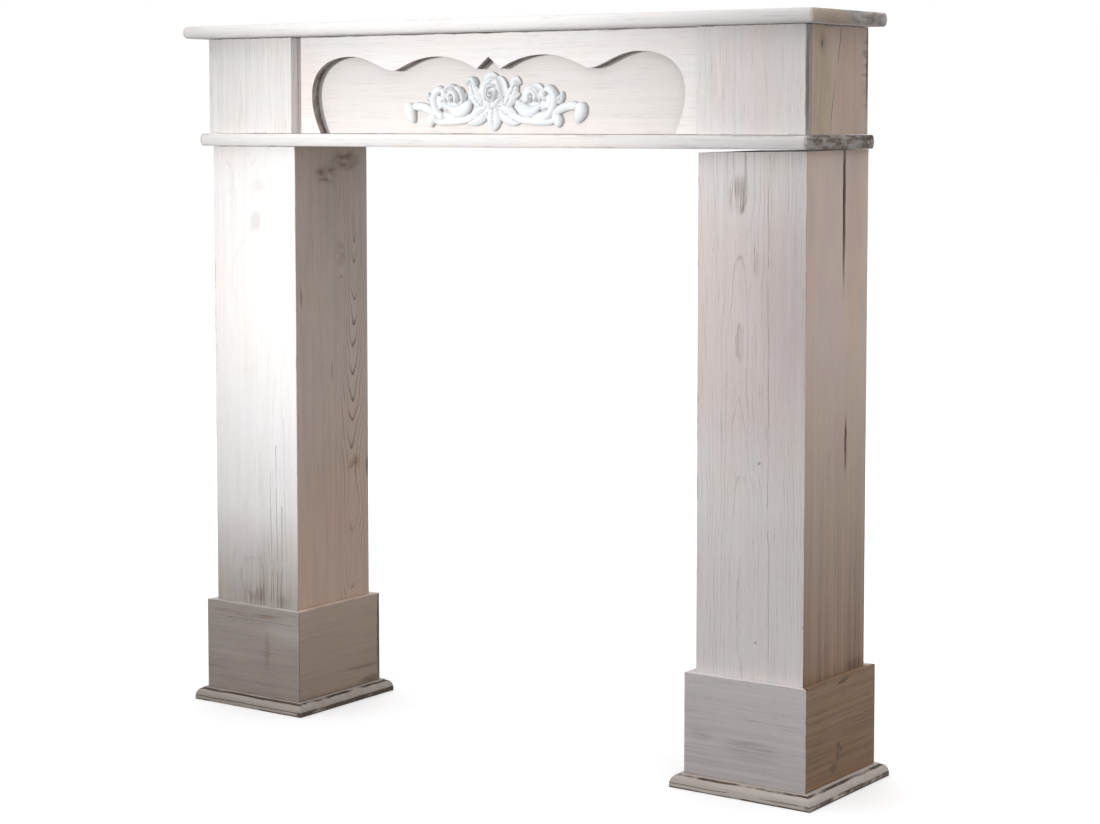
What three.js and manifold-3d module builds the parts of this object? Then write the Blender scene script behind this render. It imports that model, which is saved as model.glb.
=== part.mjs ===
// A free-standing fireplace mantelpiece of whitewashed boards: two hollow legs on plinths and
// moulded base plates carry a moulding board, a shallow frieze box with a scalloped fretwork
// front and a cast rose applique, and the mantelshelf.
// Millimetres, +Z up, floor at z = 0, front towards -Y, origin at the bottom centre.
import * as THREE from "three";
import { mergeVertices } from "three/addons/utils/BufferGeometryUtils.js";
import Module from "manifold-3d";

const wasm = await Module();
wasm.setup();

// Driving dimensions
const overallHeight = 1000;
const friezeWidth = 1000;
const friezeHeight = 137.5;

const legWidth = 158;
const legDepth = 161.5;
const legWall = 12;
const legSetIn = 1.5; // outer face of a leg, in from the frieze's end
const legGapInner = 2.5; // right leg's top is sawn out of square: what it lacks at its inner face
const legGapFront = 1.5; // and at its front
const longSplit = { width: 5, length: 180, fromBack: 64 }; // shrinkage split, open at the top
const shortSplit = { width: 6, length: 60, fromBack: 55, foot: 416 }; // and one lower down

const plinthHeight = 132.5;
const plinthWall = 11;
const plateThickness = 18;
const plateProud = 14;
const plateProudBack = 16;
const plateLedge = 5.5; // flat ledge left in front of the plinth
const plateStep = 1.5;
const plateFillet = 4;

const mouldingThickness = 18;
const mouldingProudFront = 11.5;
const mouldingProudSide = 8;
const mouldingNose = 3;
const shelfThickness = 18;
const shelfProudFront = 28;
const shelfProudSide = 25;
const shelfNose = 5;
const boardsSetInBack = 3; // shelf and moulding, in from the back of the legs
const friezeSetInBack = 2.5; // frieze box, in from the back of the shelf

const friezeProud = 6.5; // block boards, in front of the legs
const blockWall = 15;
const fretWall = 15;
const endWall = 15;
const panelWall = 12;
const fretSideMargin = 41.5; // fretwork showing between a block and the foot of the opening
const fretTopRail = 29.5; // fretwork above the outer lobes

const appliqueLength = 308;
const appliqueRelief = 16;
const appliqueFoot = 3.5; // clear of the moulding board below
const appliqueHeadroom = 20; // clear of the fretwork's middle point above

const fit = 0.3; // gap left between touching pieces

// Sizes that follow from them
const plateSide = plinthWall + plateProud;
const shelfOverLeg = friezeProud + shelfProudFront;
const overallDepth = shelfOverLeg + legDepth + plinthWall + plateProudBack;
const legFront = -overallDepth / 2 + shelfOverLeg;
const legBack = legFront + legDepth;
const legOuter = friezeWidth / 2 - legSetIn;
const legInner = legOuter - legWidth;
const blockFace = legFront - friezeProud;
const fretFace = blockFace + blockWall;
const panelFace = fretFace + fretWall + fit;
const boardsBack = legBack - boardsSetInBack;
const friezeBack = boardsBack - friezeSetInBack;

const shelfBottom = overallHeight - shelfThickness;
const friezeBottom = shelfBottom - fit - friezeHeight;
const mouldingBottom = friezeBottom - fit - mouldingThickness;
const legBottom = plateThickness + fit;
const legTop = mouldingBottom - fit;

// Colours: whitewash that is nearly clean on the boards' faces and thin on the sides
const finish = (hex, roughness) =>
  new THREE.MeshStandardMaterial({ color: hex, roughness, metalness: 0 });
const whitewash = () => finish(0xe4e0dc, 0.78);
const thinWash = () => finish(0x9c8776, 0.8);
const plaster = () => finish(0xeeedeb, 0.62);

const mantelpiece = new THREE.Group();

function piece(name, geometry, material) {
  const mesh = new THREE.Mesh(geometry, material);
  mesh.name = name;
  mantelpiece.add(mesh);
}

// A closed geometry as a solid that can be joined and cut
function solidOf(geometry) {
  const bare = geometry.clone();
  bare.deleteAttribute("normal");
  bare.deleteAttribute("uv");
  const merged = mergeVertices(bare, 1e-4);
  return new wasm.Manifold(
    new wasm.Mesh({
      numProp: 3,
      vertProperties: merged.attributes.position.array,
      triVerts: new Uint32Array(merged.index.array),
    }),
  );
}

function geometryOf(solid) {
  const { numProp, vertProperties, triVerts } = solid.getMesh();
  const corners = [];
  for (let i = 0; i < vertProperties.length; i += numProp) {
    corners.push(...vertProperties.subarray(i, i + 3));
  }
  const geometry = new THREE.BufferGeometry();
  geometry.setAttribute("position", new THREE.Float32BufferAttribute(corners, 3));
  geometry.setIndex([...triVerts]);
  geometry.computeVertexNormals();
  return geometry;
}

const shapeOf = (points) => new THREE.Shape(points.map(([a, b]) => new THREE.Vector2(a, b)));
const axisX = new THREE.Vector3(1, 0, 0);
const axisY = new THREE.Vector3(0, 1, 0);
const axisZ = new THREE.Vector3(0, 0, 1);

// A plan outline raised from bottom to top
function upright(plan, bottom, top) {
  const geometry = new THREE.ExtrudeGeometry(shapeOf(plan), { depth: top - bottom, bevelEnabled: false });
  return geometry.translate(0, 0, bottom);
}

// An outline in X and Z, with its front face at y = front
function facing(shape, front, thickness) {
  const geometry = new THREE.ExtrudeGeometry(shape, { depth: thickness, bevelEnabled: false });
  geometry.applyMatrix4(new THREE.Matrix4().makeBasis(axisX, axisZ, axisY.clone().negate()));
  return geometry.translate(0, front + thickness, 0);
}

const rectangle = (x0, x1, y0, y1) => [
  [x0, y0],
  [x1, y0],
  [x1, y1],
  [x0, y1],
];

// A slab whose edges are worked: nose lists how far in the edge stands at each height, bottom up.
// The two profiles crossed give mitred corners. A square back stays plain.
function workedSlab({ x0, x1, y0, y1, bottom }, nose, squareBack) {
  const up = nose.map(([inset, z]) => [inset, bottom + z]);
  const down = [...up].reverse();
  const sides = shapeOf([
    ...up.map(([inset, z]) => [x1 - inset, z]),
    ...down.map(([inset, z]) => [x0 + inset, z]),
  ]);
  const ends = shapeOf([
    ...up.map(([inset, z]) => [y1 - (squareBack ? 0 : inset), z]),
    ...down.map(([inset, z]) => [y0 + inset, z]),
  ]);
  const alongY = new THREE.ExtrudeGeometry(sides, { depth: y1 - y0, bevelEnabled: false });
  alongY.applyMatrix4(new THREE.Matrix4().makeBasis(axisX, axisZ, axisY.clone().negate()));
  alongY.translate(0, y1, 0);
  const alongX = new THREE.ExtrudeGeometry(ends, { depth: x1 - x0, bevelEnabled: false });
  alongX.applyMatrix4(new THREE.Matrix4().makeBasis(axisY, axisZ, axisX));
  alongX.translate(x0, 0, 0);
  return geometryOf(solidOf(alongY).intersect(solidOf(alongX)));
}

// A half-round nose: a half ellipse as deep as nose over the slab's thickness
function halfRound(nose, thickness, steps = 10) {
  const profile = [];
  for (let i = 0; i <= steps; i += 1) {
    const turn = (Math.PI * i) / steps;
    profile.push([nose * (1 - Math.sin(turn)), (thickness * (1 - Math.cos(turn))) / 2]);
  }
  return profile;
}

// The base plate's edge: a square fillet, a quarter-round, a small step and the flat ledge
function plateEdge() {
  const roundTop = plateThickness - plateStep;
  const roundIn = plateProud - plateLedge;
  const profile = [[0, 0]];
  const steps = 6;
  for (let i = 0; i <= steps; i += 1) {
    const turn = (Math.PI / 2) * (i / steps);
    const rise = (roundTop - plateFillet) * Math.sin(turn);
    profile.push([roundIn * (1 - Math.cos(turn)), plateFillet + rise]);
  }
  profile.push([roundIn, plateThickness]);
  return profile;
}

// Four boards mitred round a hollow: each side's plan outline, short of the mitre by its share of the gap
function mitredBoards({ x0, x1, y0, y1, wall }) {
  const short = fit / Math.SQRT2;
  const front = [
    [x0 + short, y0],
    [x1 - short, y0],
    [x1 - wall - short, y0 + wall],
    [x0 + wall + short, y0 + wall],
  ];
  const right = [
    [x1, y0 + short],
    [x1, y1 - short],
    [x1 - wall, y1 - wall - short],
    [x1 - wall, y0 + wall + short],
  ];
  const back = front.map(([x, y]) => [x, y0 + y1 - y]).reverse();
  const left = right.map(([x, y]) => [x0 + x1 - x, y]).reverse();
  return { front, right, back, left };
}

// The right leg's outer board has split along its grain right through its thickness. Each split is
// an outline over the board's depth and height: shares of its width, and of its length from the top.
const longSplitEdges = [
  [-0.5, -0.02],
  [-0.7, 0.4],
  [-0.1, 0.78],
  [0.7, 1],
  [0.5, 0.75],
  [0.3, 0.4],
  [0.5, -0.02],
];
const shortSplitEdges = [
  [0.2, 0],
  [-0.4, 0.35],
  [-0.5, 0.65],
  [-0.1, 1],
  [0.5, 0.7],
  [0.4, 0.3],
];

function splitSolid(edges, { width, length, fromBack }, top) {
  const outline = edges.map(([across, down]) => [
    legBack - fromBack + width * across,
    top - length * down,
  ]);
  const through = 2 * legWall;
  const geometry = new THREE.ExtrudeGeometry(shapeOf(outline), { depth: through, bevelEnabled: false });
  geometry.applyMatrix4(new THREE.Matrix4().makeBasis(axisY, axisZ, axisX));
  return solidOf(geometry.translate(legOuter - through / 2 - legWall / 2, 0, 0));
}

function splitBoard(board) {
  return geometryOf(
    solidOf(board)
      .subtract(splitSolid(longSplitEdges, longSplit, legTop))
      .subtract(splitSolid(shortSplitEdges, shortSplit, shortSplit.foot + shortSplit.length)),
  );
}

// Base plates, plinths and legs, one set for each side
for (const side of ["left", "right"]) {
  const hand = side === "left" ? -1 : 1;
  const x0 = side === "left" ? -legOuter : legInner;
  const x1 = x0 + legWidth;
  const boardName = { front: "front", back: "back" };
  boardName.left = side === "left" ? "outer" : "inner";
  boardName.right = side === "left" ? "inner" : "outer";

  const plate = {
    x0: x0 - plateSide,
    x1: x1 + plateSide,
    y0: legFront - plateSide,
    y1: legBack + plinthWall + plateProudBack,
    bottom: 0,
  };
  piece(`${side}_base_plate`, workedSlab(plate, plateEdge(), false), whitewash());

  const plinth = mitredBoards({
    x0: x0 - plinthWall,
    x1: x1 + plinthWall,
    y0: legFront - plinthWall,
    y1: legBack + plinthWall,
    wall: plinthWall - fit,
  });
  for (const [face, plan] of Object.entries(plinth)) {
    const board = upright(plan, legBottom, plateThickness + plinthHeight);
    const material = face === "right" ? thinWash() : whitewash();
    piece(`${side}_plinth_${boardName[face]}`, board, material);
  }

  // The right leg's top slopes away from its outer back corner, the only place where it bears.
  const lack = (x, y) => {
    const inwards = (hand * (hand * legOuter - x)) / legWidth;
    const forwards = (legBack - y) / legDepth;
    return legGapInner * inwards + legGapFront * forwards;
  };
  const leg = mitredBoards({ x0, x1, y0: legFront, y1: legBack, wall: legWall });
  for (const [face, plan] of Object.entries(leg)) {
    const board = upright(plan, legBottom, legTop);
    const corners = board.attributes.position;
    for (let i = 0; side === "right" && i < corners.count; i += 1) {
      if (corners.getZ(i) > legBottom + 1) {
        corners.setZ(i, legTop - lack(corners.getX(i), corners.getY(i)));
      }
    }
    const split = side === "right" && face === "right";
    const material = face === "right" ? thinWash() : whitewash();
    piece(`${side}_leg_${boardName[face]}`, split ? splitBoard(board) : board, material);
  }
}

// Moulding board across both legs
const mouldingHalf = friezeWidth / 2 + mouldingProudSide;
const moulding = {
  x0: -mouldingHalf,
  x1: mouldingHalf,
  y0: blockFace - mouldingProudFront,
  y1: boardsBack,
  bottom: mouldingBottom,
};
const mouldingEdge = halfRound(mouldingNose, mouldingThickness);
piece("moulding_board", workedSlab(moulding, mouldingEdge, true), whitewash());

// Frieze box: end boards, the panel behind the fretwork, the fretwork, and a block board over each leg
const friezeTop = friezeBottom + friezeHeight;
const endInner = friezeWidth / 2 - endWall;
for (const side of ["left", "right"]) {
  const hand = side === "left" ? -1 : 1;
  const endSpan = [hand * endInner, (hand * friezeWidth) / 2].sort((a, b) => a - b);
  const end = rectangle(...endSpan, fretFace + fit, friezeBack);
  piece(`${side}_frieze_end`, upright(end, friezeBottom, friezeTop), thinWash());
  const blockSpan = [hand * legInner, (hand * friezeWidth) / 2].sort((a, b) => a - b);
  const block = shapeOf(rectangle(...blockSpan, friezeBottom, friezeTop));
  piece(`${side}_block_board`, facing(block, blockFace, blockWall), whitewash());
}
const panelHalf = endInner - fit;
const panel = shapeOf(rectangle(-panelHalf, panelHalf, friezeBottom, friezeTop));
piece("frieze_back_panel", facing(panel, panelFace, panelWall), whitewash());

// The fretwork's opening, from its right foot over the lobes to the middle point and back,
// as shares of its half width and of the height of its outer lobes
const openingHalf = legInner - fretSideMargin;
const lobeHeight = friezeHeight - fretTopRail;
const widthShare = { shoulder: 1.052, lobe: 0.823, trough: 0.552, innerLobe: 0.294, cusp: 0.067 };
const heightShare = { shoulder: 0.5, trough: 0.806, innerLobe: 0.981, cusp: 0.815, point: 0.968 };
const pointHeight = lobeHeight * heightShare.point;

function openingOutline(hand) {
  const at = (x, z) => [hand * openingHalf * x, friezeBottom + lobeHeight * z];
  const curve = (a, b, c, d) =>
    new THREE.CubicBezierCurve(
      new THREE.Vector2(...at(...a)),
      new THREE.Vector2(...at(...b)),
      new THREE.Vector2(...at(...c)),
      new THREE.Vector2(...at(...d)),
    );
  const foot = [1, 0];
  const shoulder = [widthShare.shoulder, heightShare.shoulder];
  const lobe = [widthShare.lobe, 1];
  const trough = [widthShare.trough, heightShare.trough];
  const innerLobe = [widthShare.innerLobe, heightShare.innerLobe];
  const cusp = [widthShare.cusp, heightShare.cusp];
  return [
    curve(foot, [1.02, 0.12], [shoulder[0], 0.3], shoulder),
    curve(shoulder, [shoulder[0], 0.815], [0.963, 1], lobe),
    curve(lobe, [0.709, 1.018], [0.622, trough[1]], trough),
    curve(trough, [0.522, trough[1]], [0.435, 0.99], innerLobe),
    curve(innerLobe, [0.214, innerLobe[1]], [0.134, 0.917], cusp),
  ];
}

function fretworkShape() {
  const steps = 9;
  const right = openingOutline(1).flatMap((curve) => curve.getPoints(steps).slice(0, -1));
  const left = openingOutline(-1).flatMap((curve) => curve.getPoints(steps).slice(0, -1));
  const cuspAt = (hand) =>
    new THREE.Vector2(
      hand * openingHalf * widthShare.cusp,
      friezeBottom + lobeHeight * heightShare.cusp,
    );
  const point = new THREE.Vector2(0, friezeBottom + pointHeight);
  const half = endInner - fit;
  return new THREE.Shape([
    new THREE.Vector2(half, friezeBottom),
    new THREE.Vector2(half, friezeTop),
    new THREE.Vector2(-half, friezeTop),
    new THREE.Vector2(-half, friezeBottom),
    ...left,
    cuspAt(-1),
    point,
    cuspAt(1),
    ...right.reverse(),
  ]);
}
piece("fretwork_board", facing(fretworkShape(), fretFace + fit, fretWall - fit), whitewash());

// The mantelshelf
const shelfHalf = friezeWidth / 2 + shelfProudSide;
const shelf = {
  x0: -shelfHalf,
  x1: shelfHalf,
  y0: blockFace - shelfProudFront,
  y1: boardsBack,
  bottom: shelfBottom,
};
piece("mantelshelf", workedSlab(shelf, halfRound(shelfNose, shelfThickness), true), whitewash());

// The rose applique, one casting. It is drawn from the middle of its foot, then stretched to its
// real length, height and relief. Each stroke is a run of sections with a flat back.
const appliqueHeight = pointHeight - appliqueFoot - appliqueHeadroom;

// Sections across a stroke: place from -1 to 1, and height as a share of the stroke's own
const roundSection = [
  [-1, 0.3],
  [-0.75, 0.76],
  [-0.35, 0.96],
  [0.35, 0.96],
  [0.75, 0.76],
  [1, 0.3],
];
const veinedSection = [
  [-1, 0.35],
  [-0.7, 0.82],
  [-0.35, 1],
  [0, 0.66],
  [0.35, 1],
  [0.7, 0.82],
  [1, 0.35],
];
const petalSection = [
  [-1, 0.62],
  [-0.7, 1],
  [-0.2, 0.86],
  [0.4, 0.55],
  [1, 0.4],
];

// Widths along a stroke: a leaf is pointed at both ends, a scroll is blunt
const leafWidth = (t) => Math.sin(Math.PI * t ** 0.8) ** 0.75;
const scrollWidth = (t) => Math.min(1, 3.2 * Math.sqrt(t), 2.4 * Math.sqrt(1 - t));

// A ball's net of faces, laid along the curve: its poles close the two ends.
function stroke(points, { half, high, section = roundSection, width = leafWidth, steps = 9 }) {
  const path = new THREE.CatmullRomCurve3(points.map(([u, v]) => new THREE.Vector3(u, v, 0)));
  const outline = [[-1, 0], ...section, [1, 0]];
  const columns = outline.length;
  const net = new THREE.SphereGeometry(1, columns, steps);
  const place = net.attributes.position;
  for (let i = 0; i < place.count; i += 1) {
    const t = Math.floor(i / (columns + 1)) / steps;
    const [across, up] = outline[(i % (columns + 1)) % columns];
    const centre = path.getPointAt(t);
    const along = path.getTangentAt(t);
    const spread = t > 0 && t < 1 ? half * width(t) : 0;
    const rise = t > 0 && t < 1 ? high * Math.sqrt(width(t)) * up : 0;
    place.setXYZ(i, centre.x - along.y * across * spread, centre.y + along.x * across * spread, rise);
  }
  return net;
}

// Points on an ellipse round the rose's heart, between two angles in degrees
function arc(radiusU, radiusV, from, to, count = 5) {
  const heart = [0, 51.5];
  const points = [];
  for (let i = 0; i < count; i += 1) {
    const turn = THREE.MathUtils.degToRad(from + ((to - from) * i) / (count - 1));
    points.push([heart[0] + radiusU * Math.cos(turn), heart[1] + radiusV * Math.sin(turn)]);
  }
  return points;
}

function roseStrokes() {
  const strokes = [stroke(arc(0.1, 20, 270, 90, 3), { half: 19, high: 8, width: scrollWidth })];
  const outer = { half: 8, high: 10.5, section: petalSection, steps: 10 };
  for (const [from, to] of [
    [60, 150],
    [125, 225],
    [200, 275],
    [265, 345],
    [-30, 72],
  ]) {
    strokes.push(stroke(arc(17.5, 21, to, from), outer));
  }
  const inner = { half: 5, high: 13.5, section: petalSection, steps: 9 };
  for (const start of [20, 140, 255]) {
    strokes.push(stroke(arc(10.5, 12, start + 150, start), inner));
  }
  strokes.push(stroke(arc(4.5, 5, 400, 120, 6), { half: 3, high: 16, section: petalSection }));
  return strokes;
}

function sprayStrokes(hand) {
  const mirrored = (points) => points.map(([u, v]) => [hand * u, v]);
  const scroll = { width: scrollWidth };
  const list = [
    // upper leaf, rolled over at its tip
    [[[20, 30], [32, 46], [44, 66]], { half: 9, high: 7, section: veinedSection }],
    [[[30, 56], [42, 59], [52, 56]], { half: 5.5, high: 9, steps: 7 }],
    // rosebud: body, wrapped petal and the sepal under it
    [[[59, 24], [67, 42], [74, 60]], { half: 15, high: 11, steps: 10 }],
    [[[56, 34], [60, 48], [72, 58]], { half: 6, high: 13, section: petalSection }],
    [[[80, 32], [80, 44], [74, 55]], { half: 4.5, high: 12.5, steps: 7 }],
    [[[46, 30], [60, 25], [78, 28]], { half: 5, high: 10, steps: 8 }],
    // hooked leaf that cups the bud
    [
      [[52, 19], [74, 20], [92, 24], [103, 34], [106, 46], [99, 54], [91, 50]],
      { half: 6, high: 9, steps: 16 },
    ],
    // small outer leaf
    [[[101, 24], [111, 37], [116, 49]], { half: 4.5, high: 5.5, section: veinedSection, steps: 7 }],
    // stem to the end scroll
    [
      [[84, 18], [106, 24], [120, 29], [133, 32.5], [145, 33], [149.5, 24], [145.5, 18], [140, 20]],
      { half: 4.8, high: 6, ...scroll, steps: 20 },
    ],
    // lower bar and its curl
    [
      [[26, 26], [46, 18], [66, 14.5], [90, 14.5], [106, 17], [113, 13], [111, 8.5], [106, 9.5]],
      { half: 4.4, high: 5.5, ...scroll, steps: 20 },
    ],
    // two lower leaves
    [[[20, 32], [34, 20], [47, 11]], { half: 7, high: 7, section: veinedSection }],
    [[[10, 30], [22, 18], [33, 6]], { half: 7, high: 6.5, section: veinedSection }],
  ];
  return list.map(([points, make]) => stroke(mirrored(points), make));
}

function applique() {
  const middleLeaf = stroke([[0, 30], [0, 14], [-1, 0]], { half: 10, high: 6, section: veinedSection });
  const casting = [...roseStrokes(), ...sprayStrokes(1), ...sprayStrokes(-1), middleLeaf]
    .map(solidOf)
    .reduce((whole, part) => whole.add(part));
  const geometry = geometryOf(casting);
  geometry.computeBoundingBox();
  const drawn = geometry.boundingBox.getSize(new THREE.Vector3());
  geometry.translate(0, -geometry.boundingBox.min.y, 0);
  geometry.scale(appliqueLength / drawn.x, appliqueHeight / drawn.y, appliqueRelief / drawn.z);
  geometry.applyMatrix4(new THREE.Matrix4().makeBasis(axisX, axisZ, axisY.clone().negate()));
  return geometry.translate(0, panelFace - fit, friezeBottom + appliqueFoot);
}
piece("rose_applique", applique(), plaster());

export default mantelpiece;
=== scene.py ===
import math

import bmesh
import bpy
from mathutils import Matrix, Quaternion, Vector, noise
from mathutils.geometry import interpolate_bezier


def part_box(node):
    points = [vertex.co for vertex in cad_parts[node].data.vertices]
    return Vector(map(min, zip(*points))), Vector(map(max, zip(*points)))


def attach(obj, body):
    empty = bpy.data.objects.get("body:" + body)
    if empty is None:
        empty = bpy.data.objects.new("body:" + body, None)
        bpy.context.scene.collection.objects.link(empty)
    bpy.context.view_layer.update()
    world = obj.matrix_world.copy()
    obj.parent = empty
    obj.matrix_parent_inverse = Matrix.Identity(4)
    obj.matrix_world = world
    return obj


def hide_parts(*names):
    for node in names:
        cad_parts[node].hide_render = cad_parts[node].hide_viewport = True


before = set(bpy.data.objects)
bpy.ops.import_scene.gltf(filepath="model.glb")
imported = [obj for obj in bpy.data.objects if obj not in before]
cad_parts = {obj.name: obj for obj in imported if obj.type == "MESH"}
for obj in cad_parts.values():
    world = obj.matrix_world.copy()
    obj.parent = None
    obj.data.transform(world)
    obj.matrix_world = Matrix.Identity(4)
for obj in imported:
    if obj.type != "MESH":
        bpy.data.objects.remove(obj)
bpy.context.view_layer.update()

# Camera: in front of the right leg and a little below the shelf, looking slightly down, as the
# photograph was taken. The frame is shifted so that the uprights keep the photograph's lean.
camera_place = (1.971, -2.713, 0.8585)
camera_turn = math.radians(35.24)
camera_dip = math.radians(4.217)
camera_data = bpy.data.cameras.new("camera")
camera_data.sensor_width = 36
camera_data.lens = 79.25
camera_data.shift_y = -0.1
camera = bpy.data.objects.new("camera", camera_data)
camera.location = camera_place
camera.rotation_euler = (math.radians(90) - camera_dip, 0, camera_turn)
bpy.context.scene.collection.objects.link(camera)
bpy.context.scene.camera = camera
bpy.context.scene.view_settings.view_transform = "Standard"

# Floor and light: a pale studio floor in a white room. A soft pool of light from the front left
# falls on the left leg and the middle of the frieze; broad weaker lights fill from the right
# front, from above and from behind.
room_light = 0.28
world = bpy.data.worlds.new("studio")
bpy.context.scene.world = world
world.use_nodes = True
room = world.node_tree.nodes["Background"]
room.inputs["Strength"].default_value = room_light
room.inputs["Color"].default_value = (0.97, 0.98, 1.0, 1)
backdrop = world.node_tree.nodes.new("ShaderNodeBackground")
backdrop.inputs["Color"].default_value = (1, 1, 1, 1)
seen = world.node_tree.nodes.new("ShaderNodeLightPath")
either = world.node_tree.nodes.new("ShaderNodeMixShader")
join = world.node_tree.links.new
join(seen.outputs["Is Camera Ray"], either.inputs[0])
join(room.outputs[0], either.inputs[1])
join(backdrop.outputs[0], either.inputs[2])
join(either.outputs[0], world.node_tree.nodes["World Output"].inputs["Surface"])


def lamp(name, kind, place, aim, power, squash=1.0, roll=0, **settings):
    light = bpy.data.lights.new(name, kind)
    light.energy = power
    for setting, value in settings.items():
        setattr(light, setting, value)
    stand = bpy.data.objects.new(name, light)
    stand.location = place
    turn = (Vector(aim) - Vector(place)).to_track_quat("-Z", "Y") @ Quaternion((0, 0, 1), math.radians(roll))
    stand.rotation_euler = turn.to_euler()
    stand.scale = (1, squash, 1)
    bpy.context.scene.collection.objects.link(stand)


lamp("pool", "SPOT", (-1.5, -3.3, 1.0), (-0.12, -0.08, 0.735), 408, squash=0.8, roll=40,
     spot_size=math.radians(20), spot_blend=0.58, shadow_soft_size=0.25)
lamp("right_fill", "AREA", (2.3, -2.4, 1.1), (0.3, 0, 0.5), 15, shape="SQUARE", size=1.8)
lamp("overhead", "SUN", (0, -0.6, 2.6), (0, 0, 0), 1.9, angle=math.radians(110))
lamp("back_fill", "AREA", (-1.5, 2.6, 1.4), (0, 0, 0.5), 16, shape="SQUARE", size=2)

floor_drop = 0.0004
bm = bmesh.new()
bmesh.ops.create_circle(bm, cap_ends=True, segments=96, radius=40)
bmesh.ops.translate(bm, vec=(0, 0, -floor_drop), verts=bm.verts)
floor_mesh = bpy.data.meshes.new("floor")
bm.to_mesh(floor_mesh)
bm.free()
floor = bpy.data.objects.new("floor", floor_mesh)
bpy.context.scene.collection.objects.link(floor)
floor_paint = bpy.data.materials.new("floor")
floor_paint.use_nodes = True
floor_shader = floor_paint.node_tree.nodes["Principled BSDF"]
floor_shader.inputs["Base Color"].default_value = (0.9, 0.9, 0.9, 1)
floor_shader.inputs["Roughness"].default_value = 0.9
floor_shader.inputs["Emission Color"].default_value = (1, 1, 1, 1)
floor_shader.inputs["Emission Strength"].default_value = 0.3
floor_mesh.materials.append(floor_paint)
floor.visible_diffuse = False

# Base plates: a softwood slab under each leg with a quarter-round and a small step worked on all
# four edges. The white wash has rubbed off along the step, in a line at the foot of the round
# and along the bottom edge.
MM = 0.001


def paint(red, green, blue):
    """A colour given as it shows on a screen, 0 to 255, in linear light."""
    return (*(((level / 255 + 0.055) / 1.055) ** 2.4 for level in (red, green, blue)), 1.0)


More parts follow.
